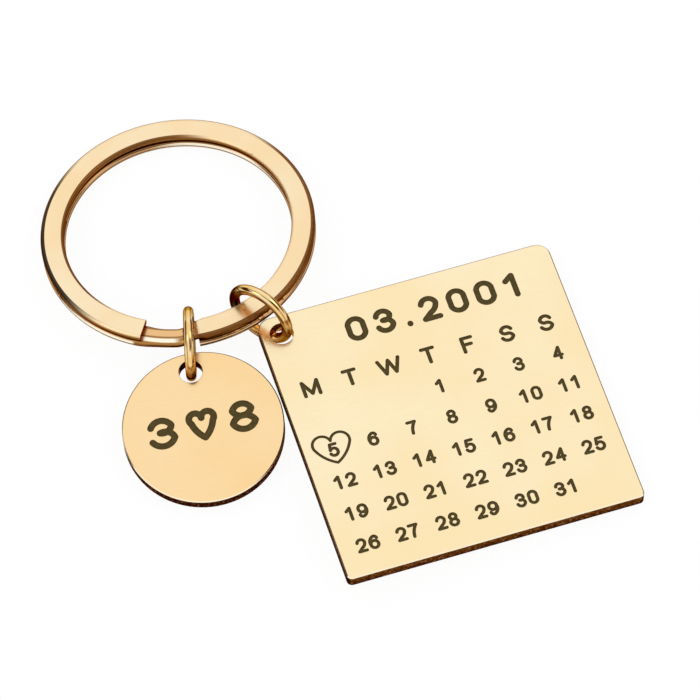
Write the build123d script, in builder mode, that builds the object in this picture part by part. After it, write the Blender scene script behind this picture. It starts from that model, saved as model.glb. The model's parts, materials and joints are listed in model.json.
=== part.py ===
from build123d import *
from math import asin, cos, degrees, radians, sin, sqrt
import os

# A key ring carrying a square calendar plate and a round tag, each on its own jump ring.
# The origin is the middle of the key ring. X runs to the right, Y away from the reader and Z up.

# Split ring: one flat wire with round edges, wound twice
ring_diameter = 30.0
wire_width = 2.6
wire_thickness = 0.8
wire_edge_radius = 0.36
turn_gap = 0.06
lower_turn_inset = 0.03
lower_turn_shift = 0.2
crossover_width = 2.2
ring_tilt = 6.2
ring_tilt_azimuth = -91.1

# Places round the ring where the wire changes turn
upper_end_azimuth = -113.2
lower_end_azimuth = -88.5
crossover_start_azimuth = -84.0
ramp_top_azimuth = -88.8
ramp_foot_azimuth = -97.6
narrow_from_azimuth = -90.0
narrow_to_azimuth = -104.0
crossover_end_azimuth = -116.0
crossover_stations = 15

# Jump rings: round wire closed to a fine slit
link_diameter = 8.1
link_wire = 1.15
link_slit = 0.05

plate_link_clearance = 0.26
plate_link_azimuth = -59.9
plate_link_heading = -43.7
plate_link_lean = 6.6

tag_link_clearance = 0.075
tag_link_azimuth = -92.6
tag_link_heading = -96.0
tag_link_lean = 2.4

# Calendar plate: a square of sheet with rounded corners
plate_side = 33.0
plate_thickness = 1.6
plate_upper_corner = 1.5
plate_lower_corner = 0.6
plate_edge_break = 0.12
plate_hole = 2.6
plate_hole_inset = 2.3
plate_yaw = 9.0
plate_tilt = 3.2
plate_hole_play = 0.34
plate_ring_gap = 0.17

# Round tag
tag_diameter = 17.4
tag_thickness = 1.6
tag_edge_break = 0.12
tag_hole = 2.6
tag_hole_offset = 6.55
tag_heading = 93.4
tag_tilt = 6.2
tag_hole_play = 0.2

# Engraving
engraving_depth = 0.1

heading_text = "03.2001"
heading_height = 3.1
heading_stroke = 0.64
heading_drop = 4.15
heading_middle = 19.0
heading_pitch = 3.15
heading_digit_width_share = 0.74

weekday_text = "MTWTFSS"
weekday_height = 2.1
weekday_stroke = 0.42
weekday_drop = 9.7

month_days = 31
first_day_column = 3
week_length = 7
column_pitch = 4.41
first_row_drop = 13.67
row_pitch = 3.965
day_height = 1.75
day_stroke = 0.37
day_pitch = 1.38

marked_day = 5
heart_width = 4.45
heart_height = 3.85
heart_stroke = 0.32
heart_rise = 0.15

tag_text = "3*8"
tag_text_height = 3.7
tag_text_stroke = 0.74
tag_text_pitch = 4.4
tag_text_rise = 0.2
tag_digit_width_share = 0.86

# Strokes of each character, in its own box one wide and one high.
# Two points are a straight stroke and three points are an arc.
upper_bowl_shares = ((0.04, 0.78), (0.5, 1.0), (0.95, 0.76))
lower_bowl_shares = ((1.0, 0.27), (0.5, 0.0), (0.0, 0.22))
stroke_shares = {
    "0": (
        ((0.0, 0.74), (0.5, 1.0), (1.0, 0.74)),
        ((1.0, 0.26), (0.5, 0.0), (0.0, 0.26)),
        ((0.0, 0.26), (0.0, 0.74)),
        ((1.0, 0.26), (1.0, 0.74)),
    ),
    "1": (((0.1, 0.76), (0.6, 1.0)), ((0.6, 1.0), (0.6, 0.0))),
    "2": (
        ((0.02, 0.76), (0.5, 1.0), (1.0, 0.73)),
        ((1.0, 0.73), (0.88, 0.5), (0.5, 0.28)),
        ((0.5, 0.28), (0.0, 0.0)),
        ((0.0, 0.0), (1.0, 0.0)),
    ),
    "3": (
        upper_bowl_shares,
        ((0.95, 0.76), (0.82, 0.58), (0.4, 0.53)),
        ((0.4, 0.53), (0.85, 0.47), (1.0, 0.27)),
        lower_bowl_shares,
    ),
    "4": (
        ((0.75, 0.0), (0.75, 1.0)),
        ((0.75, 1.0), (0.0, 0.3)),
        ((0.0, 0.3), (1.0, 0.3)),
    ),
    "5": (
        ((0.93, 1.0), (0.2, 1.0)),
        ((0.2, 1.0), (0.07, 0.5)),
        ((0.07, 0.5), (0.55, 0.64), (1.0, 0.32)),
        ((1.0, 0.32), (0.5, 0.0), (0.0, 0.2)),
    ),
    "6": (
        ((0.0, 0.31), (0.5, 0.62), (1.0, 0.31)),
        ((1.0, 0.31), (0.5, 0.0), (0.0, 0.31)),
        ((0.0, 0.31), (0.1, 0.78), (0.55, 1.0)),
        ((0.55, 1.0), (0.82, 0.96), (0.97, 0.8)),
    ),
    "7": (((0.0, 1.0), (1.0, 1.0)), ((1.0, 1.0), (0.55, 0.55), (0.35, 0.0))),
    "8": (
        ((0.08, 0.765), (0.5, 1.0), (0.92, 0.765)),
        ((0.92, 0.765), (0.5, 0.53), (0.08, 0.765)),
        ((0.0, 0.27), (0.5, 0.54), (1.0, 0.27)),
        ((1.0, 0.27), (0.5, 0.0), (0.0, 0.27)),
    ),
    "9": (
        ((1.0, 0.69), (0.5, 0.38), (0.0, 0.69)),
        ((0.0, 0.69), (0.5, 1.0), (1.0, 0.69)),
        ((1.0, 0.69), (0.9, 0.22), (0.45, 0.0)),
        ((0.45, 0.0), (0.18, 0.04), (0.03, 0.2)),
    ),
    ".": (((0.5, 0.0), (0.5, 0.03)),),
    "F": (((0.0, 0.0), (0.0, 1.0)), ((0.0, 1.0), (1.0, 1.0)), ((0.0, 0.52), (0.85, 0.52))),
    "M": (
        ((0.0, 0.0), (0.0, 1.0)),
        ((0.0, 1.0), (0.5, 0.1)),
        ((0.5, 0.1), (1.0, 1.0)),
        ((1.0, 1.0), (1.0, 0.0)),
    ),
    "S": (
        ((0.97, 0.79), (0.5, 1.0), (0.05, 0.74)),
        ((0.05, 0.74), (0.18, 0.57), (0.5, 0.5)),
        ((0.5, 0.5), (0.85, 0.43), (1.0, 0.26)),
        ((1.0, 0.26), (0.5, 0.0), (0.0, 0.22)),
    ),
    "T": (((0.0, 1.0), (1.0, 1.0)), ((0.5, 1.0), (0.5, 0.0))),
    "W": (
        ((0.0, 1.0), (0.26, 0.0)),
        ((0.26, 0.0), (0.5, 0.95)),
        ((0.5, 0.95), (0.74, 0.0)),
        ((0.74, 0.0), (1.0, 1.0)),
    ),
    "*": (
        ((0.5, 0.78), (0.2, 1.0), (0.02, 0.62)),
        ((0.5, 0.78), (0.8, 1.0), (0.98, 0.62)),
        ((0.02, 0.62), (0.2, 0.28), (0.5, 0.0)),
        ((0.98, 0.62), (0.8, 0.28), (0.5, 0.0)),
    ),
}
digit_width_share = 0.68
letter_width_shares = {"F": 0.7, "M": 0.98, "S": 0.78, "T": 0.8, "W": 1.3, ".": 0.3}
pitch_shares = {".": 0.62}

# Split ring: worked-out sizes
ring_radius = ring_diameter / 2
turn_pitch = wire_thickness + turn_gap
stack_height = wire_thickness + turn_pitch
upper_level = turn_pitch / 2
lower_level = -turn_pitch / 2
lowest_tip = ring_radius - lower_turn_inset - lower_turn_shift - wire_edge_radius
table_level = -(
    (stack_height / 2 - wire_edge_radius) * cos(radians(ring_tilt))
    + lowest_tip * sin(radians(ring_tilt))
    + wire_edge_radius
)


def heading_vector(azimuth, rise=0.0):
    """Unit vector towards an azimuth in plan, climbing by an angle."""
    level = cos(radians(rise))
    return Vector(level * cos(radians(azimuth)), level * sin(radians(azimuth)), sin(radians(rise)))


raised_side = heading_vector(ring_tilt_azimuth, ring_tilt)
level_side = heading_vector(ring_tilt_azimuth + 90.0)
ring_plane = Plane(origin=(0, 0, 0), x_dir=raised_side, z_dir=raised_side.cross(level_side))
ring_axis = Axis((0, 0, 0), ring_plane.z_dir)
lower_axis = Axis(raised_side * lower_turn_shift, ring_plane.z_dir)


def ring_point(radius, azimuth, level, shift=0.0):
    """Point of the ring's own frame, about a middle shifted to the raised side, azimuths as in plan."""
    turn = radians(azimuth - ring_tilt_azimuth)
    return ring_plane.from_local_coords(Vector(shift + radius * cos(turn), radius * sin(turn), level))


def section_plane(azimuth, inner, outer, level, shift=0.0):
    """Plane across the wire, its x pointing outwards, at the middle of the wire's section."""
    middle = ring_point((inner + outer) / 2, azimuth, level, shift)
    outwards = ring_point(outer, azimuth, level, shift) - middle
    return Plane(origin=middle, x_dir=outwards, z_dir=outwards.cross(ring_plane.z_dir))


def eased(azimuth, start, finish):
    """Nought before the start, one after the finish, and a smooth half wave between."""
    share = (azimuth - start) / (finish - start)
    share = min(max(share, 0.0), 1.0)
    return (1 - cos(radians(180.0 * share))) / 2


upper_outer = ring_radius
upper_inner = upper_outer - wire_width
lower_outer = ring_radius - lower_turn_inset
lower_inner = lower_outer - wire_width

with BuildPart() as split_ring:
    with BuildSketch(section_plane(upper_end_azimuth, upper_inner, upper_outer, upper_level)):
        RectangleRounded(wire_width, wire_thickness, wire_edge_radius)
    revolve(axis=ring_axis.reverse(), revolution_arc=360.0 + upper_end_azimuth - crossover_start_azimuth)

    lower_start = section_plane(
        crossover_end_azimuth, lower_inner, lower_outer, lower_level, lower_turn_shift
    )
    with BuildSketch(lower_start):
        RectangleRounded(wire_width, wire_thickness, wire_edge_radius)
    revolve(axis=lower_axis.reverse(), revolution_arc=360.0 + crossover_end_azimuth - lower_end_azimuth)

    for station in range(crossover_stations):
        share = station / (crossover_stations - 1)
        azimuth = crossover_start_azimuth + share * (crossover_end_azimuth - crossover_start_azimuth)
        drop = eased(azimuth, ramp_top_azimuth, ramp_foot_azimuth)
        pinch = eased(azimuth, crossover_start_azimuth, narrow_from_azimuth)
        pinch -= eased(azimuth, narrow_to_azimuth, crossover_end_azimuth)
        width = wire_width - pinch * (wire_width - crossover_width)
        middle = upper_outer - drop * lower_turn_inset - wire_width / 2
        level = upper_level - drop * turn_pitch
        plane = section_plane(
            azimuth, middle - width / 2, middle + width / 2, level, drop * lower_turn_shift
        )
        with BuildSketch(plane):
            RectangleRounded(width, wire_thickness, wire_edge_radius)
    loft()
split_ring.part.label = "split_ring"

# Jump rings stand on the table and pass round the wire of the split ring
link_centre_radius = (link_diameter - link_wire) / 2
link_inner_radius = link_diameter / 2 - link_wire
slit_angle = degrees(2 * asin(link_slit / 2 / link_centre_radius))


def link_plane_at(clearance, azimuth, heading, lean):
    """Plane of a jump ring: x points away from the split ring and y up the jump ring."""
    outwards = heading_vector(heading)
    upwards = heading_vector(heading + 90.0, 90.0 - lean)
    height = table_level + link_wire / 2 + link_centre_radius * cos(radians(lean))
    inner_edge = ring_point(upper_inner, azimuth, -stack_height / 2)
    below = height - inner_edge.Z
    reach = sqrt((link_inner_radius - clearance) ** 2 - below**2)
    middle = heading_vector(azimuth) * (upper_inner + reach) + Vector(0, 0, height)
    return Plane(origin=middle, x_dir=outwards, z_dir=outwards.cross(upwards))


plate_link_plane = link_plane_at(plate_link_clearance, plate_link_azimuth, plate_link_heading, plate_link_lean)
tag_link_plane = link_plane_at(tag_link_clearance, tag_link_azimuth, tag_link_heading, tag_link_lean)


def link_section(plane):
    """Plane across the jump ring's wire at its foot, where the slit is."""
    foot = plane.from_local_coords(Vector(0, -link_centre_radius, 0))
    return Plane(origin=foot, x_dir=-plane.y_dir, z_dir=plane.x_dir)


with BuildPart() as plate_jump_ring:
    with BuildSketch(link_section(plate_link_plane)):
        Circle(link_wire / 2)
    revolve(axis=Axis(plate_link_plane.origin, plate_link_plane.z_dir), revolution_arc=360.0 - slit_angle)
plate_jump_ring.part.label = "plate_jump_ring"

with BuildPart() as tag_jump_ring:
    with BuildSketch(link_section(tag_link_plane)):
        Circle(link_wire / 2)
    revolve(axis=Axis(tag_link_plane.origin, tag_link_plane.z_dir), revolution_arc=360.0 - slit_angle)
tag_jump_ring.part.label = "tag_jump_ring"


def point_on_link(plane, height):
    """Middle of the jump ring's wire at a height above the table, on its outer side."""
    drop = (plane.origin.Z - height) / plane.y_dir.Z
    return plane.from_local_coords(Vector(sqrt(link_centre_radius**2 - drop**2), -drop, 0))


def character_paths(character, middle_x, middle_y, height, stroke, digit_share=digit_width_share):
    """Middle lines of a character's strokes, centred at a place."""
    width = height * letter_width_shares.get(character, digit_share)
    span_x = max(width - stroke, stroke / 2)
    span_y = height - stroke
    paths = []
    for shares in stroke_shares[character]:
        points = [
            (middle_x + (x - 0.5) * span_x, middle_y + (y - 0.5) * span_y) for x, y in shares
        ]
        if len(points) == 2:
            paths.append(Line(*points, mode=Mode.PRIVATE))
        else:
            paths.append(ThreePointArc(*points, mode=Mode.PRIVATE))
    return paths


def text_strokes(text, middle_x, middle_y, height, stroke, pitch, digit_share=digit_width_share):
    """Faces of a line of text, its characters at even pitches about the middle."""
    steps = [pitch * pitch_shares.get(character, 1.0) for character in text]
    left = middle_x - sum(steps) / 2
    faces = []
    for character, step in zip(text, steps):
        for path in character_paths(character, left + step / 2, middle_y, height, stroke, digit_share):
            faces.append(SlotArc(path, stroke, mode=Mode.PRIVATE).face())
        left += step
    return faces


# Calendar plate: resting on its right edge, its left side held up by the jump ring
plate_x = heading_vector(plate_yaw, -plate_tilt)
plate_y = heading_vector(plate_yaw + 90.0)
plate_normal = plate_x.cross(plate_y)
plate_hole_height = (
    table_level
    + (plate_side - plate_hole_inset - plate_edge_break) * sin(radians(plate_tilt))
    + plate_thickness / 2 * cos(radians(plate_tilt))
)
plate_wire_point = point_on_link(plate_link_plane, plate_hole_height)
level_x = heading_vector(plate_yaw)
corner_shift = plate_hole_inset - plate_upper_corner
corner_centre = plate_wire_point - plate_x * plate_hole_play + (plate_y - plate_x) * corner_shift
corner_reach = ring_radius + plate_ring_gap + plate_upper_corner
plate_hole_drop = corner_centre.dot(plate_y) + sqrt(corner_reach**2 - corner_centre.dot(level_x) ** 2)
plate_hole_point = plate_wire_point - plate_x * plate_hole_play - plate_y * plate_hole_drop
plate_middle_offset = plate_side / 2 - plate_hole_inset
plate_plane = Plane(
    origin=plate_hole_point + (plate_x - plate_y) * plate_middle_offset,
    x_dir=plate_x,
    z_dir=plate_normal,
)

half_side = plate_side / 2
plate_marks = text_strokes(
    heading_text,
    heading_middle - half_side,
    half_side - heading_drop,
    heading_height,
    heading_stroke,
    heading_pitch,
    heading_digit_width_share,
)
plate_marks += text_strokes(
    weekday_text, 0.0, half_side - weekday_drop, weekday_height, weekday_stroke, column_pitch
)
for day in range(1, month_days + 1):
    row, column = divmod(day - 1 + first_day_column, week_length)
    day_x = (column - (week_length - 1) / 2) * column_pitch
    day_y = half_side - first_row_drop - row * row_pitch
    plate_marks += text_strokes(str(day), day_x, day_y, day_height, day_stroke, day_pitch)
    if day == marked_day:
        heart_share = heart_width / heart_height
        for path in character_paths(
            "*", day_x, day_y + heart_rise, heart_height, heart_stroke, heart_share
        ):
            plate_marks.append(SlotArc(path, heart_stroke, mode=Mode.PRIVATE).face())

with BuildPart() as calendar_plate:
    with BuildSketch(plate_plane) as plate_outline:
        Rectangle(plate_side, plate_side)
        fillet(plate_outline.vertices().group_by(Axis.Y)[0], plate_lower_corner)
        fillet(plate_outline.vertices().group_by(Axis.Y)[-1], plate_upper_corner)
    extrude(amount=plate_thickness / 2, both=True)
    flat_faces = calendar_plate.faces().sort_by(Axis(plate_plane.origin, plate_normal))
    chamfer(flat_faces[0].edges() + flat_faces[-1].edges(), length=plate_edge_break)
    with Locations(plate_plane.location * Pos(-plate_middle_offset, plate_middle_offset)):
        Hole(plate_hole / 2)
    with BuildSketch(plate_plane.offset(plate_thickness / 2)):
        add(plate_marks)
    extrude(amount=-engraving_depth, mode=Mode.SUBTRACT)
calendar_plate.part.label = "calendar_plate"

# Round tag: resting on its far rim, its hole side held up by the jump ring
tag_y = heading_vector(tag_heading, tag_tilt)
tag_x = heading_vector(tag_heading - 90.0)
tag_normal = tag_x.cross(tag_y)
tag_radius = tag_diameter / 2
tag_hole_height = (
    table_level
    + (tag_radius + tag_hole_offset - tag_edge_break) * sin(radians(tag_tilt))
    + tag_thickness / 2 * cos(radians(tag_tilt))
)
tag_wire_point = point_on_link(tag_link_plane, tag_hole_height)
tag_hole_point = tag_wire_point + tag_y * tag_hole_play
tag_plane = Plane(origin=tag_hole_point - tag_y * tag_hole_offset, x_dir=tag_x, z_dir=tag_normal)

tag_marks = text_strokes(
    tag_text,
    0.0,
    tag_text_rise,
    tag_text_height,
    tag_text_stroke,
    tag_text_pitch,
    tag_digit_width_share,
)

with BuildPart() as round_tag:
    with BuildSketch(tag_plane):
        Circle(tag_radius)
    extrude(amount=tag_thickness / 2, both=True)
    flat_faces = round_tag.faces().sort_by(Axis(tag_plane.origin, tag_normal))
    chamfer(flat_faces[0].edges() + flat_faces[-1].edges(), length=tag_edge_break)
    with Locations(tag_plane.location * Pos(0, tag_hole_offset)):
        Hole(tag_hole / 2)
    with BuildSketch(tag_plane.offset(tag_thickness / 2)):
        add(tag_marks)
    extrude(amount=-engraving_depth, mode=Mode.SUBTRACT)
round_tag.part.label = "round_tag"

os.makedirs("parts", exist_ok=True)
pieces = (split_ring, plate_jump_ring, calendar_plate, tag_jump_ring, round_tag)
for piece in pieces:
    export_step(piece.part, f"parts/{piece.part.label}.step")

print("Table lies at", round(table_level, 4))
print("Gap between the two turns of the split ring", turn_gap)
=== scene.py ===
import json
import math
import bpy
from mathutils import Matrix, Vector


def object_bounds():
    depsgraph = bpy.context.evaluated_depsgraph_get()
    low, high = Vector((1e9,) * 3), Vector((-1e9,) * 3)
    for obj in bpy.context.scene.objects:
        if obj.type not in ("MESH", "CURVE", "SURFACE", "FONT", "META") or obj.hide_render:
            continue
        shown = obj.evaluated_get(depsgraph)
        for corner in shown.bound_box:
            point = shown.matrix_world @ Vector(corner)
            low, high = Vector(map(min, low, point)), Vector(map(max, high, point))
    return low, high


bl_info = {
    "name": "Calendar Keychain",
    "version": (1, 0, 0),
    "blender": (4, 5, 0),
    "location": "View3D > Sidebar > Keychain",
    "description": "Finishes and photographs a gold keychain with a calendar plate and a round tag",
    "category": "Object",
}

import bpy
from bpy.props import FloatProperty, FloatVectorProperty, PointerProperty
from mathutils import Matrix, Vector

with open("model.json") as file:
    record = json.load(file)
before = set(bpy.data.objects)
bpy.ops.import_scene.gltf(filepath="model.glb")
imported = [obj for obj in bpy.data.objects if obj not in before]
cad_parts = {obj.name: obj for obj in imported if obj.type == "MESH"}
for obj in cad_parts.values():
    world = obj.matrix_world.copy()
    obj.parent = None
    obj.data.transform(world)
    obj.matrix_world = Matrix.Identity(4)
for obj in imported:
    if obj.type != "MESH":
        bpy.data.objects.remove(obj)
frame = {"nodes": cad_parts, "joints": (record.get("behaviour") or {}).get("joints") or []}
MM = 0.001

# Where the pieces lie: the hinges give points and axes, and the rest repeats the construction
JOINTS = {joint["name"]: joint for joint in frame["joints"]}
RING_NORMAL = Vector(JOINTS["plate_link_travel"]["axis"])
RING_SIDE = Vector((RING_NORMAL.y, -RING_NORMAL.x, 0.0)).normalized()
RING_RAISED = RING_SIDE.cross(RING_NORMAL)
PLATE_LINK_CENTRE = Vector(JOINTS["plate_flap"]["pos_m"])
PLATE_LINK_AXIS = Vector(JOINTS["plate_flap"]["axis"])
TAG_LINK_CENTRE = Vector((-0.67956, -14.96498, 1.66343)) * MM
TAG_LINK_AXIS = Vector((-0.99365, 0.10444, 0.04188))
TAG_HOLE = Vector(JOINTS["tag_swivel"]["pos_m"])
TAG_NORMAL = Vector(JOINTS["tag_swivel"]["axis"])
PLATE_MIDDLE = Vector((25.40364, -26.94936, -0.65143)) * MM
PLATE_ACROSS = Vector((0.98615, 0.15619, -0.05582))
PLATE_UP = Vector((-0.15643, 0.98769, 0.0))
TABLE_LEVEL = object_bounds()[0].z

# Narrow step over which two finishes meet
HAIR = 0.01 * MM

# Sheets: shares of the engraving's depth that the dark floor fades in over, the border that
# holds no marks, the far edges' strip of painted rim shade and the left wall's strip of painted shadow
MARK_DEPTH_SHARES = (0.35, 0.75)
BARE_BORDER = 0.4 * MM
FAR_RIM_STRIP = (0.1 * MM, 0.2 * MM)
SHADOWED_STRIP = (0.05 * MM, 0.4 * MM)
# Painted shade on the rim along far edges, then pale and dark speckle on the edge walls
FAR_RIM_SHADE = (0.22, 0.12, 0.055)
PALE_SPECK = (0.36, 0.2, 0.11)
DARK_SPECK = (0.02, 0.007, 0.002)

# Split ring: distances from its axis over which the finish and its painted reflections, highlights and shade
# change, from bore to rim
BORE_EDGE = (12.7 * MM, 12.8 * MM)
CROSSOVER_BORE_SIDE = (13.04 * MM, 13.2 * MM)
WIRE_MIDDLE = (13.5 * MM, 13.9 * MM)
CREASE_START, CREASE_END = (13.84 * MM, 14.0 * MM), (14.1 * MM, 14.22 * MM)
SHOULDER = (14.12 * MM, 14.26 * MM)
RIM_EDGE = (14.48 * MM, 14.56 * MM)
CROSSOVER_RIM_SIDE = (14.64 * MM, 14.76 * MM)
OUTERMOST = (14.72 * MM, 14.84 * MM)

# Split ring: levels over which the finish and its painted wall shading change, as shares of its height from the
# middle
TOP_FLAT_SHARES = (0.455, 0.485)
UPPER_TURN_SHARES = (0.33, 0.37)
LOWER_WALL_START_SHARES, LOWER_WALL_END_SHARES = (-0.24, -0.19), (-0.09, -0.05)

# Split ring: where the single wire crosses over, as shares of the radius to the right
CROSSOVER_START_SHARES, CROSSOVER_END_SHARES = (-0.44, -0.41), (0.0, 0.05)
UPPER_END_SHARES = (-0.375, -0.371)
CROSSOVER_TURN = (-2.2 * MM, -1.2 * MM)
CROSSOVER_FRONT = (0.0, 1.0 * MM)

# Split ring: painted reflections and highlights on the wall from foot to top, with painted shade in the groove in
# the middle
WALL_SHADING_STOPS = (
    (0.0, (0.1, 0.045, 0.015)),
    (0.11, (0.12, 0.055, 0.02)),
    (0.17, (0.9, 0.72, 0.5)),
    (0.23, (0.1, 0.045, 0.015)),
    (0.3, (0.3, 0.13, 0.05)),
    (0.38, (0.72, 0.46, 0.23)),
    (0.46, (0.3, 0.14, 0.05)),
    (0.5, (0.1, 0.04, 0.012)),
    (0.55, (0.28, 0.12, 0.04)),
    (0.66, (0.29, 0.125, 0.04)),
    (0.78, (0.19, 0.075, 0.02)),
    (0.88, (0.33, 0.155, 0.05)),
    (0.93, (0.85, 0.6, 0.33)),
)
# Split ring: painted shade on the rounded edges and the far rim, and a painted highlight on the lower wall
ROUNDING_SHADE = (0.2, 0.068, 0.009)
FAR_ROUNDING_SHADE = (0.2, 0.1, 0.045)
WALL_HIGHLIGHT = (1.0, 0.92, 0.72)
# Split ring: painted shade and highlight on the crossover step's flat, edge, turned part, crease, foot and wall
STEP_FLAT = (0.84, 0.52, 0.24)
STEP_HIGHLIGHT = (1.0, 0.95, 0.76)
STEP_TURNED = (0.42, 0.22, 0.06)
STEP_CREASE_SHADE = (0.28, 0.12, 0.04)
STEP_FOOT = (0.42, 0.2, 0.055)
STEP_WALL = (0.22, 0.09, 0.025)
CUT_END = (0.34, 0.16, 0.055)

# Jump rings: distances from the wire's middle plane, inwards from its middle line, and towards
# the far end, over which painted dark streaks, outlines and shade come in
STREAK_START, STREAK_END = (0.15 * MM, 0.22 * MM), (0.28 * MM, 0.36 * MM)
FLANK = (0.44 * MM, 0.54 * MM)
INNER_SIDE = (0.1 * MM, 0.5 * MM)
FAR_END = (2.2 * MM, 3.3 * MM)
# Jump rings: painted shade on the inner side and underside, then painted dark streaks and outlines
INNER_SHADE = (0.88, 0.45, 0.1)
LINK_STREAK_SHADE = (0.2, 0.08, 0.02)

# Every metal turns to this brown at a low angle
LOW_ANGLE_BROWN = (0.42, 0.22, 0.09, 1.0)

# Share of the backdrop's light that the floor gives back
FLOOR_SHARE = 0.98

# Dark cards: name, azimuth and elevation in degrees, distance, width and height
SIDE_CARDS = (
    ("left_card", 158.0, 17.0, 0.5, 0.5, 0.24),
    ("right_card", 15.0, 17.0, 0.5, 0.5, 0.24),
    ("camera_card", -92.0, 60.0, 0.55, 0.07, 0.18),
)
FRONT_CARD = ("front_right_card", -62.0, 52.0, 0.5, 0.3, 0.32)
STRIP_PLACES = {"left_strip": (-0.42, -0.05, 0.5), "right_strip": (0.42, -0.05, 0.5)}
STRIP_WIDTH, STRIP_HEIGHT = 0.2, 0.3
FLOOR_SIDE = 6.0

# Camera, fitted to the photograph's outlines
CAMERA_PLACE = Vector((0.0, -327.803, 549.677)) * MM
CAMERA_FORWARD = Vector((0.02561971, 0.49089545, -0.87084171))
CAMERA_UP = Vector((0.16038758, 0.85782422, 0.48827598))


def length(name, description, millimetres):
    """A length that the sidebar shows, kept in metres."""
    return FloatProperty(
        name=name, description=description, default=millimetres * MM, unit="LENGTH", precision=5
    )


def share(name, description, default):
    """A share from nought to one."""
    return FloatProperty(
        name=name, description=description, default=default, min=0.0, max=1.0, subtype="FACTOR"
    )


def colour(name, description, default):
    """A colour in linear light."""
    return FloatVectorProperty(
        name=name, description=description, default=default, size=3, min=0.0, max=1.0, subtype="COLOR"
    )


class KeychainSizes(bpy.types.PropertyGroup):
    """Sizes of the pieces, repeated from the construction."""

    plate_side: length("Plate side", "Side of the square calendar plate", 33.0)
    plate_upper_corner: length("Upper corners", "Radius of the plate's two upper corners", 1.5)
    plate_lower_corner: length("Lower corners", "Radius of the plate's two lower corners", 0.6)
    plate_hole_inset: length("Hole inset", "From each edge of the plate to the middle of its hole", 2.3)
    sheet_thickness: length("Sheet thickness", "Thickness of the plate and of the tag", 1.6)
    sheet_edge_break: length("Edge break", "Small chamfer round the faces of the sheets", 0.12)
    sheet_hole: length("Hole", "Diameter of the holes in the plate and the tag", 2.6)
    tag_radius: length("Tag radius", "Radius of the round tag", 8.7)
    tag_hole_offset: length("Tag hole offset", "From the middle of the tag to the middle of its hole", 6.55)
    engraving_depth: length("Engraving depth", "Depth of the cut marks", 0.1)
    ring_stack: length("Ring height", "Height of the split ring's two turns together", 1.66)
    link_middle: length("Jump ring middle", "From the middle of a jump ring to the middle of its wire", 3.475)


class KeychainFinishes(bpy.types.PropertyGroup):
    """Colours and polish of the metal, with the colours of its painted highlights, reflections and shade."""

    plate_gold: colour("Plate gold", "Face of the calendar plate", (0.98, 0.83, 0.54))
    tag_gold: colour("Tag gold", "Face of the round tag", (0.965, 0.705, 0.375))
    ring_gold: colour("Ring gold", "Flats of the split ring", (0.955, 0.775, 0.51))
    link_gold: colour("Jump ring gold", "Wire of the jump rings", (0.96, 0.7, 0.32))
    # Painted highlight on the rim round the sheets' faces
    rim_highlight: colour("Pale edge", "Worn edge round the faces of the sheets", (1.0, 0.9, 0.66))
    # Painted dark reflection and shade on the sheets' edge walls
    wall_shade: colour("Cut edge", "Rough edge of the sheets near the face", (0.17, 0.075, 0.014))
    # Painted dark reflection and shade on the tag's edge wall
    tag_wall_shade: colour("Tag cut edge", "Rough edge of the tag near the face", (0.06, 0.027, 0.011))
    # Darkest painted shade: painted shadow on the plate's left wall and in the tag's hole, painted dark reflection
    # on the split ring's outer left, and painted shade at the jump rings' far ends
    deep_shade: colour("Scorch", "Darkest tarnish on the edges and the wires", (0.012, 0.006, 0.003))
    engraving: colour("Engraving", "Darkened floor of the cut marks", (0.064, 0.048, 0.017))
    face_roughness: share("Face roughness", "Satin of the sheets' faces", 0.18)
    wire_roughness: share("Wire roughness", "Polish of the wires", 0.08)


class KeychainStudio(bpy.types.PropertyGroup):
    """Camera and light."""

    camera_lens: FloatProperty(name="Lens", description="Focal length", default=302.466, unit="CAMERA")
    strip_power: FloatProperty(
        name="Strip power", description="Power of each strip light", default=0.25, unit="POWER"
    )
    backdrop: colour("Backdrop", "Colour of the floor and the surroundings", (1.0, 1.0, 1.0))
    floor_opacity: share("Floor opacity", "How much of the floor the camera sees", 0.08)
    front_card_shade: colour("Front card shade", "Colour of the card at the front right", (0.2, 0.115, 0.045))
    side_card_shade: colour("Side card shade", "Colour of the cards at the sides and camera", (0.07, 0.035, 0.014))


class Value:
    """One number or vector inside a material, on which Python's arithmetic adds nodes."""

    def __init__(self, recipe, socket):
        self.recipe = recipe
        self.socket = socket

    def __add__(self, other):
        return self.recipe.math("ADD", self, other)

    __radd__ = __add__

    def __sub__(self, other):
        return self.recipe.math("SUBTRACT", self, other)

    def __rsub__(self, other):
        return self.recipe.math("SUBTRACT", other, self)

    def __mul__(self, other):
        return self.recipe.math("MULTIPLY", self, other)

    __rmul__ = __mul__

    def __truediv__(self, other):
        return self.recipe.math("DIVIDE", self, other)

    def __neg__(self):
        return self.recipe.math("MULTIPLY", self, -1.0)

    def __abs__(self):
        return self.recipe.math("ABSOLUTE", self)


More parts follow.
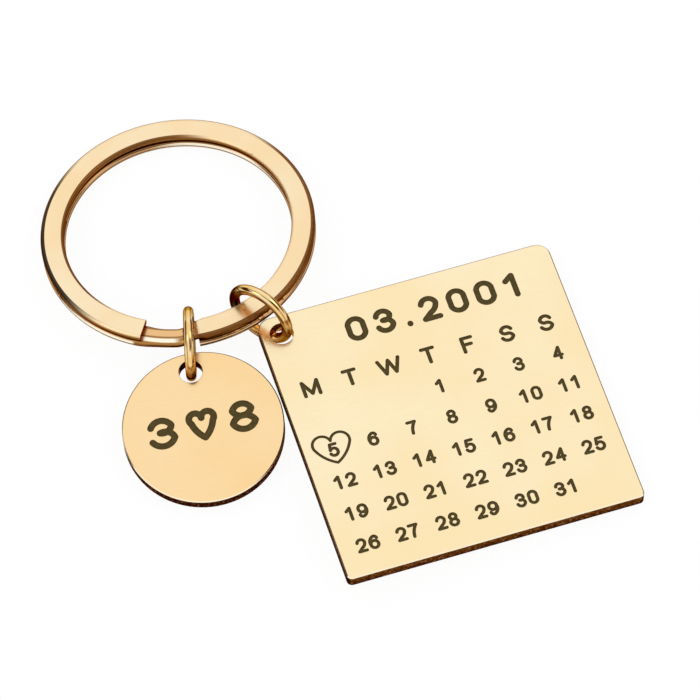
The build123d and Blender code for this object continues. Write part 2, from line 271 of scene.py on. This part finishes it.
class Recipe:
    """A material's node tree, built from expressions."""

    def __init__(self, name):
        self.material = bpy.data.materials.new(name)
        self.material.use_nodes = True
        self.tree = self.material.node_tree
        self.tree.nodes.clear()

    def node(self, kind, settings=None, inputs=None, output=0):
        """Adds a node, sets it up, feeds its sockets and returns one of its outputs."""
        made = self.tree.nodes.new(kind)
        for name, setting in (settings or {}).items():
            if name == "stops":
                ramp = made.color_ramp
                while len(ramp.elements) < len(setting):
                    ramp.elements.new(0.5)
                for element, (place, shade) in zip(ramp.elements, setting):
                    element.position = place
                    element.color = shade
            else:
                setattr(made, name, setting)
        for name, given in (inputs or {}).items():
            if isinstance(given, Value):
                self.tree.links.new(given.socket, made.inputs[name])
            else:
                made.inputs[name].default_value = given
        return Value(self, made.outputs[output]) if made.outputs else None

    def math(self, operation, *terms):
        """A Math node."""
        return self.node("ShaderNodeMath", {"operation": operation}, dict(enumerate(terms)))

    def dot(self, vector, direction):
        """Dot product of a vector with a fixed direction."""
        settings = {"operation": "DOT_PRODUCT"}
        return self.node("ShaderNodeVectorMath", settings, {0: vector, 1: tuple(direction)}, "Value")

    def place(self):
        """Object coordinates, in metres."""
        return self.node("ShaderNodeTexCoord", output="Object")

    def facing(self):
        """The surface's direction in the object's own frame."""
        return self.node("ShaderNodeTexCoord", output="Normal")

    def along(self, origin, direction):
        """Distance of the surface from a point, measured along a direction."""
        return self.dot(self.place(), direction) - Vector(direction).dot(origin)

    def rise(self, value, low, high):
        """Nought below low, one above high, and smooth between."""
        settings = {"interpolation_type": "SMOOTHSTEP", "clamp": True}
        inputs = {"Value": value, "From Min": low, "From Max": high, "To Min": 0.0, "To Max": 1.0}
        return self.node("ShaderNodeMapRange", settings, inputs)

    def between(self, value, rising, falling):
        """One between a rising and a falling step."""
        return self.rise(value, *rising) * (1.0 - self.rise(value, *falling))

    def noise(self, scale, detail=2.0, stretch=None):
        """Even noise about a half, its scale counted per metre."""
        where = self.place()
        if stretch is not None:
            where = self.node("ShaderNodeMapping", {}, {"Vector": where, "Scale": stretch})
        return self.node("ShaderNodeTexNoise", {}, {"Vector": where, "Scale": scale, "Detail": detail})

    def larger(self, *terms):
        """The largest of several numbers."""
        found = terms[0]
        for term in terms[1:]:
            found = self.math("MAXIMUM", found, term)
        return found

    def reach(self, *terms):
        """Length of the vector that has these parts."""
        return self.math("SQRT", sum((term * term for term in terms[1:]), terms[0] * terms[0]))

    def mix(self, factor, first, second):
        """A colour between two colours."""
        inputs = {0: factor}
        for index, shade in ((6, first), (7, second)):
            inputs[index] = shade if isinstance(shade, Value) else (*shade, 1.0)
        return self.node("ShaderNodeMix", {"data_type": "RGBA"}, inputs, 2)

    def ramp(self, value, *stops):
        """A colour that follows a number through stops."""
        settings = {"stops": [(place, (*shade, 1.0)) for place, shade in stops]}
        return self.node("ShaderNodeValToRGB", settings, {0: value})

    def bump(self, height, distance, strength=1.0):
        """A bump that feeds a shader's Normal."""
        return self.node("ShaderNodeBump", {}, {"Height": height, "Distance": distance, "Strength": strength})

    def finish(self, surface):
        """Links the surface to the material's output."""
        self.node("ShaderNodeOutputMaterial", {}, {"Surface": surface})
        return self.material


def gold(recipe, shade, roughness, grain, metallic=1.0):
    """A polished metal that turns browner at a low angle."""
    inputs = {
        "Base Color": shade,
        "Metallic": metallic,
        "Roughness": roughness,
        "Specular Tint": LOW_ANGLE_BROWN,
        "Normal": grain,
    }
    return recipe.node("ShaderNodeBsdfPrincipled", {}, inputs)


def paint(node_name, material):
    """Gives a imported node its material."""
    mesh = frame["nodes"][node_name].data
    mesh.materials.clear()
    mesh.materials.append(material)


def tinted(shade, *shares):
    """A colour with its three parts scaled."""
    return tuple(min(part * share_of, 1.0) for part, share_of in zip(shade, shares))


def engraved(recipe, outline, hole, height, sizes):
    """One on the cut marks, which lie on the face and keep clear of the edges."""
    depth = sizes.sheet_thickness / 2 - height
    marks = recipe.rise(depth, *(part * sizes.engraving_depth for part in MARK_DEPTH_SHARES))
    marks = marks * recipe.rise(height, 0.0, 10.0 * HAIR)
    marks = marks * (1.0 - recipe.rise(outline, -BARE_BORDER, -0.75 * BARE_BORDER))
    return marks * recipe.rise(hole, 0.5 * BARE_BORDER, 0.75 * BARE_BORDER)


def shaded_wall(recipe, shade, depth, shadowed, deep_shade):
    """Edge wall of a sheet painted dark brown as painted reflection, with painted shade darker towards its foot,
    real speckle, and near-black painted shadow over the shadowed strip.
    """
    speckle = recipe.noise(3400.0, 3.0)
    # Painted shade, darker towards the wall's foot
    cut = recipe.ramp(
        depth,
        (0.05, shade),
        (0.45, tinted(shade, 0.75, 0.7, 0.8)),
        (0.95, tinted(shade, 0.25, 0.2, 0.35)),
    )
    cut = recipe.mix(recipe.rise(speckle, 0.52, 0.66) * 0.6, cut, PALE_SPECK)
    cut = recipe.mix((1.0 - recipe.rise(speckle, 0.36, 0.5)) * 0.6, cut, DARK_SPECK)
    return speckle, recipe.mix(shadowed, cut, deep_shade)


def sheet_material(
    recipe, shade, outline, hole, height, bore_shade, wall_base_shade, shadowed, rim_lit, sizes, finishes
):
    """Satin face, darkened engraving, rim with painted highlight and painted shade, and rough edge wall with
    painted dark reflection and shade, of a sheet.
    """
    half, edge = sizes.sheet_thickness / 2, sizes.sheet_edge_break
    fine = recipe.noise(2600.0, 3.0)
    broad = recipe.noise(60.0, 2.0)
    grain = recipe.noise(700.0, 3.0, (1.0, 9.0, 1.0))

    outer = recipe.rise(outline, -edge, -edge + 2.0 * HAIR)
    below = 1.0 - recipe.rise(height, half - edge - 2.0 * HAIR, half - edge + HAIR)
    wall = outer * below
    rim = outer * (1.0 - below)
    bore = 1.0 - recipe.rise(hole, 0.5 * HAIR, 3.0 * HAIR)
    marks = engraved(recipe, outline, hole, height, sizes)

    warm, light = tinted(shade, 1.0, 0.955, 0.87), tinted(shade, 1.01, 1.02, 1.06)
    face = recipe.mix(recipe.rise(broad, 0.3, 0.7), light, warm)
    face = recipe.mix(recipe.rise(grain, 0.45, 0.75) * 0.35, face, tinted(shade, 0.98, 0.93, 0.84))
    depth = (half - height) / sizes.sheet_thickness
    speckle, cut = shaded_wall(recipe, wall_base_shade, depth, shadowed, tuple(finishes.deep_shade))
    dark, less_dark = tuple(finishes.engraving), tinted(finishes.engraving, 1.35, 1.35, 1.35)
    mark = recipe.mix(recipe.rise(fine, 0.4, 0.65), dark, less_dark)
    # Painted highlight on the rim, painted shade along the far edges
    edged = recipe.mix(rim_lit, FAR_RIM_SHADE, tuple(finishes.rim_highlight))
    # The edge wall takes its painted dark reflection and shade, and the rim its painted highlight or shade
    shaded = recipe.mix(wall, recipe.mix(rim, face, edged), cut)
    # Painted shade in the bore; the marks keep the engraving's own dark fill
    shaded = recipe.mix(marks, recipe.mix(bore, shaded, bore_shade), mark)

    rough = finishes.face_roughness + (fine - 0.5) * 0.1 + (broad - 0.5) * 0.1
    rough = rough + wall * 0.3 + marks * 0.4
    relief = recipe.bump((fine + grain) * 0.12 * (1.0 - wall) + speckle * wall, 3.0 * HAIR, 0.3)
    return recipe.finish(gold(recipe, shaded, rough, relief, 1.0 - marks * 0.8))


def rounded_square(recipe, x, y, half, upper_corner, lower_corner):
    """Distance outside a square with rounded corners; negative inside."""
    upper = recipe.rise(y, -10.0 * HAIR, 10.0 * HAIR)
    corner = lower_corner + upper * (upper_corner - lower_corner)
    over_x = abs(x) - half + corner
    over_y = abs(y) - half + corner
    outside = recipe.reach(recipe.larger(over_x, 0.0), recipe.larger(over_y, 0.0))
    inside = recipe.math("MINIMUM", recipe.larger(over_x, over_y), 0.0)
    return outside + inside - corner


class FinishCalendarPlate(bpy.types.Operator):
    """Gives the calendar plate its satin face, dark engraving, painted highlight and shade on its rim, painted
    dark reflection and shade on its rough edge wall, and painted shadow on its left wall
    """

    bl_idname = "keychain.finish_calendar_plate"
    bl_label = "Finish calendar plate"

    def execute(self, context):
        sizes, finishes = context.scene.keychain_sizes, context.scene.keychain_finishes
        recipe = Recipe("satin_gold_calendar")
        x, y = recipe.along(PLATE_MIDDLE, PLATE_ACROSS), recipe.along(PLATE_MIDDLE, PLATE_UP)
        height = recipe.along(PLATE_MIDDLE, PLATE_ACROSS.cross(PLATE_UP))
        half = sizes.plate_side / 2
        place = half - sizes.plate_hole_inset
        outline = rounded_square(recipe, x, y, half, sizes.plate_upper_corner, sizes.plate_lower_corner)
        hole = recipe.reach(x + place, y - place) - sizes.sheet_hole / 2
        shade = tuple(finishes.plate_gold)
        # Painted shade in the hole's bore
        bore = tinted(shade, 0.8, 0.62, 0.5)
        cut = tuple(finishes.wall_shade)
        # Painted shadow on the plate's left wall
        left = (1.0 - recipe.rise(x + half, *SHADOWED_STRIP)) * 0.8
        # Painted shade in place of the rim's painted highlight along the top and right edges
        inside = recipe.math("MINIMUM", half - x, half - y)
        rim_lit = recipe.rise(inside, *FAR_RIM_STRIP)
        made = sheet_material(recipe, shade, outline, hole, height, bore, cut, left, rim_lit, sizes, finishes)
        paint("calendar_plate", made)
        return {"FINISHED"}


class FinishRoundTag(bpy.types.Operator):
    """Gives the round tag its satin face, dark engraving, painted highlight and shade on its rim, painted dark
    reflection and shade on its rough edge wall, and painted shade in its hole
    """

    bl_idname = "keychain.finish_round_tag"
    bl_label = "Finish round tag"

    def execute(self, context):
        sizes, finishes = context.scene.keychain_sizes, context.scene.keychain_finishes
        across = Vector((-TAG_NORMAL.y, TAG_NORMAL.x, 0.0)).normalized()
        up = TAG_NORMAL.cross(across)
        middle = TAG_HOLE - up * sizes.tag_hole_offset
        recipe = Recipe("satin_gold_tag")
        x, y = recipe.along(middle, across), recipe.along(middle, up)
        height = recipe.along(middle, TAG_NORMAL)
        outline = recipe.reach(x, y) - sizes.tag_radius
        hole = recipe.reach(x, y - sizes.tag_hole_offset) - sizes.sheet_hole / 2
        shade = tuple(finishes.tag_gold)
        # Painted dark reflection and shade on the edge wall, and near-black painted shade in the hole's bore
        cut, bore = tuple(finishes.tag_wall_shade), tuple(finishes.deep_shade)
        # Painted highlight on the rim of the tag's lower part, fading to painted shade on its upper part
        rim_lit = 1.0 - recipe.rise(y / sizes.tag_radius, -0.1, 0.35)
        made = sheet_material(recipe, shade, outline, hole, height, bore, cut, 0.0, rim_lit, sizes, finishes)
        paint("round_tag", made)
        return {"FINISHED"}


class FinishSplitRing(bpy.types.Operator):
    """Gives the split ring pale flats, and painted reflections, highlights and shade on its walls and in the
    groove between its turns
    """

    bl_idname = "keychain.finish_split_ring"
    bl_label = "Finish split ring"

    def turns(self, recipe, shade, level, drawn):
        """Pale flats above and below, and between them the two turns' walls with painted reflections, highlights
        and painted shade in the groove.
        """
        light, warm = tinted(shade, 1.01, 1.02, 1.04), tinted(shade, 1.0, 0.94, 0.84)
        flat = recipe.mix(recipe.rise(recipe.noise(90.0, 2.0), 0.35, 0.65), light, warm)
        flat = recipe.mix(recipe.rise(drawn, 0.5, 0.8) * 0.3, flat, tinted(shade, 0.96, 0.88, 0.74))
        on_flat = recipe.rise(abs(level), *TOP_FLAT_SHARES)
        return recipe.mix(on_flat, recipe.ramp(level + 0.5, *WALL_SHADING_STOPS), flat)

    def edged(self, recipe, shaded, near, right, radius, rounded, upper, deep_shade):
        """Painted reflections on the rounded edges of the flats: painted brown shade to the front right, darkest
        painted shade at the outer left and painted shade on the far rim.
        """
        outer, inner = rounded
        turned_near = near / radius * (outer - inner)
        turned_right = right / radius * (outer - inner)
        brown = recipe.rise(turned_near * 0.64 + turned_right * 0.77, 0.25, 0.6)
        brown = recipe.larger(brown, recipe.rise(turned_right, 0.6, 0.85)) * upper
        shaded = recipe.mix(brown * 0.95, shaded, ROUNDING_SHADE)
        # Darkest painted reflection on the outer edge at the left
        dark = recipe.rise(-turned_right, 0.6, 0.9) * outer * upper
        shaded = recipe.mix(dark * 0.95, shaded, deep_shade)
        far = recipe.rise(-turned_near, 0.0, 0.4) * recipe.rise(radius, *OUTERMOST) * upper
        return recipe.mix(far * 0.8, shaded, FAR_ROUNDING_SHADE)

    def crossover(self, recipe, right, radius, facing):
        """Painted highlight and shade on the step that the single wire takes from the upper turn to the lower."""
        crease = recipe.between(radius, CREASE_START, CREASE_END) * 0.85
        crease = recipe.larger(crease, (1.0 - recipe.rise(radius, *CROSSOVER_BORE_SIDE)) * 0.9)
        bright = recipe.mix(recipe.rise(right, *CROSSOVER_TURN), STEP_HIGHLIGHT, STEP_TURNED)
        step = recipe.mix(recipe.rise(radius, *SHOULDER), STEP_FLAT, bright)
        step = recipe.mix(crease, step, STEP_CREASE_SHADE)
        step = recipe.mix(recipe.rise(radius, *CROSSOVER_RIM_SIDE), step, STEP_FOOT)
        return recipe.mix(recipe.rise(facing, 0.35, 0.75), STEP_WALL, step)

    def execute(self, context):
        sizes, finishes = context.scene.keychain_sizes, context.scene.keychain_finishes
        recipe = Recipe("polished_gold_split_ring")
        near, right = recipe.along(Vector(), RING_RAISED), recipe.along(Vector(), RING_SIDE)
        level = recipe.along(Vector(), RING_NORMAL) / sizes.ring_stack
        radius = recipe.reach(near, right)
        surface = recipe.facing()
        facing = recipe.dot(surface, RING_NORMAL)
        ahead = recipe.dot(surface, RING_SIDE) * near - recipe.dot(surface, RING_RAISED) * right
        fine, drawn = recipe.noise(1800.0, 3.0), recipe.noise(420.0, 3.0)

        rounded = recipe.rise(radius, *RIM_EDGE), 1.0 - recipe.rise(radius, *BORE_EDGE)
        upper = recipe.rise(level, *UPPER_TURN_SHARES)
        shaded = self.turns(recipe, tuple(finishes.ring_gold), level, drawn)
        shaded = self.edged(recipe, shaded, near, right, radius, rounded, upper, tuple(finishes.deep_shade))
        # Painted highlight on the lower turn's wall at the front left
        outwards = recipe.rise(radius, *WIRE_MIDDLE) * 2.0 - 1.0
        front_left = recipe.rise((near * 0.85 - right * 0.5) / radius * outwards, 0.75, 0.95)
        lower = recipe.between(level, LOWER_WALL_START_SHARES, LOWER_WALL_END_SHARES)
        shaded = recipe.mix(front_left * lower, shaded, WALL_HIGHLIGHT)

        turnwise = right / radius
        upper_end = (1.0 - recipe.rise(turnwise, *UPPER_END_SHARES)) * recipe.rise(level, 0.0, 0.06)
        span = recipe.between(turnwise, CROSSOVER_START_SHARES, CROSSOVER_END_SHARES)
        span = span * recipe.rise(near, *CROSSOVER_FRONT) * (1.0 - upper_end)
        shaded = recipe.mix(span, shaded, self.crossover(recipe, right, radius, facing))
        shaded = recipe.mix(recipe.rise(abs(ahead) / radius, 0.75, 0.9), shaded, CUT_END)

        rough = finishes.wire_roughness + 0.04 + fine * 0.08 + recipe.rise(facing, 0.9, 0.99) * 0.08
        rough = rough + (rounded[0] + rounded[1]) * upper * 0.25
        relief = recipe.bump(fine + drawn, 0.6 * HAIR, 0.25)
        paint("split_ring", recipe.finish(gold(recipe, shaded, rough, relief)))
        return {"FINISHED"}


class FinishJumpRings(bpy.types.Operator):
    """Gives the two jump rings polished wire with painted shade on the inner side, underside and far end, and
    painted dark streaks and outlines
    """

    bl_idname = "keychain.finish_jump_rings"
    bl_label = "Finish jump rings"

    def execute(self, context):
        sizes, finishes = context.scene.keychain_sizes, context.scene.keychain_finishes
        shade = tuple(finishes.link_gold)
        for name, centre, axis, far_end_shade in (
            ("plate_jump_ring", PLATE_LINK_CENTRE, PLATE_LINK_AXIS, 0.9),
            ("tag_jump_ring", TAG_LINK_CENTRE, TAG_LINK_AXIS, 0.6),
        ):
            recipe = Recipe("polished_gold_" + name)
            ahead = axis.cross(Vector((0.0, 0.0, 1.0))).normalized()
            ahead = ahead if ahead.y > 0.0 else -ahead
            far = recipe.along(centre, ahead)
            across = abs(recipe.along(centre, axis))
            inwards = sizes.link_middle - recipe.reach(far, recipe.along(centre, axis.cross(ahead)))
            lifted = recipe.dot(recipe.facing(), (0.0, 0.0, 1.0))
            fine, drawn = recipe.noise(1500.0, 3.0), recipe.noise(600.0, 2.0)
            light, deep = tinted(shade, 1.0, 1.04, 1.2), tinted(shade, 0.94, 0.86, 0.7)
            wire = recipe.mix(recipe.rise(drawn, 0.35, 0.65), light, deep)
            # Painted shade on the inner side and the underside
            inside = recipe.rise(inwards, *INNER_SIDE) * 0.8
            underside = 1.0 - recipe.rise(lifted, -0.5, -0.2)
            wire = recipe.mix(recipe.larger(inside, underside), wire, INNER_SHADE)
            # Painted dark reflection streaks beside the wire's middle and painted dark outlines along its flanks
            # and sides
            painted_shade = recipe.larger(
                recipe.rise(across, *FLANK) * 0.85,
                1.0 - recipe.rise(abs(lifted), 0.05, 0.42),
                recipe.between(across, STREAK_START, STREAK_END) * 0.7,
            )
            shaded = recipe.mix(painted_shade * 0.9, wire, LINK_STREAK_SHADE)
            # Darkest painted shade towards each jump ring's far end
            shaded = recipe.mix(recipe.rise(far, *FAR_END) * far_end_shade, shaded, tuple(finishes.deep_shade))
            rough = finishes.wire_roughness + fine * 0.06
            relief = recipe.bump(fine, 0.4 * HAIR, 0.3)
            paint(name, recipe.finish(gold(recipe, shaded, rough, relief)))
        return {"FINISHED"}


def added(kind, **settings):
    """Adds a primitive with nothing else selected and returns it."""
    bpy.ops.object.select_all(action="DESELECT")
    getattr(bpy.ops.mesh, kind)(**settings)
    return bpy.context.active_object


def thinned(recipe, lit, opacity):
    """A lit surface that lets the camera and reflections see the white world beyond it."""
    rays = [
        recipe.node("ShaderNodeLightPath", output=name)
        for name in ("Is Camera Ray", "Is Glossy Ray", "Is Transmission Ray")
    ]
    clear = recipe.node("ShaderNodeBsdfTransparent", {}, {"Color": (1.0, 1.0, 1.0, 1.0)})
    inputs = {0: recipe.larger(*rays) * (1.0 - opacity), 1: lit, 2: clear}
    return recipe.node("ShaderNodeMixShader", {}, inputs)


class BuildStudio(bpy.types.Operator):
    """Builds the floor, the strip lights, the dark cards, the world and the camera"""

    bl_idname = "keychain.build_studio"
    bl_label = "Build studio"

    def floor(self, studio):
        """A thin pale floor that keeps the object's shadow and shows what swings below it."""
        recipe = Recipe("white_floor")
        shade = tinted(studio.backdrop, FLOOR_SHARE, FLOOR_SHARE, FLOOR_SHARE)
        lit = recipe.node("ShaderNodeBsdfDiffuse", {}, {"Color": (*shade, 1.0)})
        place = (0.0, 0.0, TABLE_LEVEL - 2.0 * HAIR)
        floor = added("primitive_plane_add", size=FLOOR_SIDE, location=place)
        floor.name = "floor"
        floor.data.materials.append(recipe.finish(thinned(recipe, lit, studio.floor_opacity)))

    def card(self, shade, name, azimuth, elevation, distance, width, height):
        """A dark card that only reflections see, facing the keychain."""
        around, above = math.radians(azimuth), math.radians(elevation)
        level = math.cos(above)
        outwards = Vector((level * math.cos(around), level * math.sin(around), math.sin(above)))
        card = added("primitive_plane_add", size=1.0, location=outwards * distance)
        card.name = name
        card.rotation_mode = "QUATERNION"
        card.rotation_quaternion = outwards.to_track_quat("Z", "Y")
        card.scale = (width, height, 1.0)
        recipe = Recipe(name + "_dark")
        dark = recipe.node("ShaderNodeBsdfDiffuse", {}, {"Color": (*shade, 1.0)})
        card.data.materials.append(recipe.finish(dark))
        card.visible_camera = False
        card.visible_diffuse = False
        card.visible_shadow = False

    def strip(self, name, place, power):
        """A soft strip light turned to the keychain."""
        bpy.ops.object.light_add(type="AREA", location=place)
        lamp = bpy.context.active_object
        lamp.name = name
        lamp.data.shape = "RECTANGLE"
        lamp.data.size = STRIP_WIDTH
        lamp.data.size_y = STRIP_HEIGHT
        lamp.data.energy = power
        lamp.rotation_mode = "QUATERNION"
        lamp.rotation_quaternion = Vector(place).to_track_quat("Z", "Y")

    def camera(self, scene, lens):
        """The camera at the photograph's viewing angle."""
        turn = Matrix((CAMERA_FORWARD.cross(CAMERA_UP), CAMERA_UP, -CAMERA_FORWARD))
        camera_data = bpy.data.cameras.new("camera")
        camera_data.lens = lens
        camera_data.sensor_width = 36.0
        camera_data.clip_start = 0.01
        camera_data.clip_end = 20.0
        camera = bpy.data.objects.new("camera", camera_data)
        camera.matrix_world = Matrix.Translation(CAMERA_PLACE) @ turn.transposed().to_4x4()
        scene.collection.objects.link(camera)
        scene.camera = camera

    def execute(self, context):
        scene, studio = context.scene, context.scene.keychain_studio
        self.floor(studio)

        world = bpy.data.worlds.new("studio_world")
        world.use_nodes = True
        background = world.node_tree.nodes["Background"]
        background.inputs["Color"].default_value = (*studio.backdrop, 1.0)
        background.inputs["Strength"].default_value = 1.0
        scene.world = world
        scene.view_settings.view_transform = "Standard"

        for card in SIDE_CARDS:
            self.card(tuple(studio.side_card_shade), *card)
        self.card(tuple(studio.front_card_shade), *FRONT_CARD)
        for name, place in STRIP_PLACES.items():
            self.strip(name, place, studio.strip_power)
        self.camera(scene, studio.camera_lens)
        return {"FINISHED"}


class KeychainPanel(bpy.types.Panel):
    """Lists the keychain's pieces in the sidebar."""

    bl_idname = "VIEW3D_PT_keychain"
    bl_label = "Calendar keychain"
    bl_space_type = "VIEW_3D"
    bl_region_type = "UI"
    bl_category = "Keychain"

    def draw(self, context):
        for operator in PIECES:
            self.layout.operator(operator.bl_idname)
        for group_name, kind in GROUPS.items():
            for name in kind.__annotations__:
                self.layout.prop(getattr(context.scene, group_name), name)


PIECES = (FinishSplitRing, FinishJumpRings, FinishCalendarPlate, FinishRoundTag, BuildStudio)
GROUPS = {
    "keychain_sizes": KeychainSizes,
    "keychain_finishes": KeychainFinishes,
    "keychain_studio": KeychainStudio,
}


def register():
    """Adds the property groups, operators and panel to Blender."""
    for made in (*GROUPS.values(), *PIECES, KeychainPanel):
        bpy.utils.register_class(made)
    for name, group in GROUPS.items():
        setattr(bpy.types.Scene, name, PointerProperty(type=group))


def unregister():
    """Takes them away again."""
    for name in GROUPS:
        delattr(bpy.types.Scene, name)
    for made in (KeychainPanel, *reversed(PIECES), *GROUPS.values()):
        bpy.utils.unregister_class(made)


def main():
    """Runs each piece's operator."""
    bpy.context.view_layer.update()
    register()
    bpy.ops.keychain.finish_split_ring()
    bpy.ops.keychain.finish_jump_rings()
    bpy.ops.keychain.finish_calendar_plate()
    bpy.ops.keychain.finish_round_tag()
    bpy.ops.keychain.build_studio()


if __name__ == "__main__":
    main()
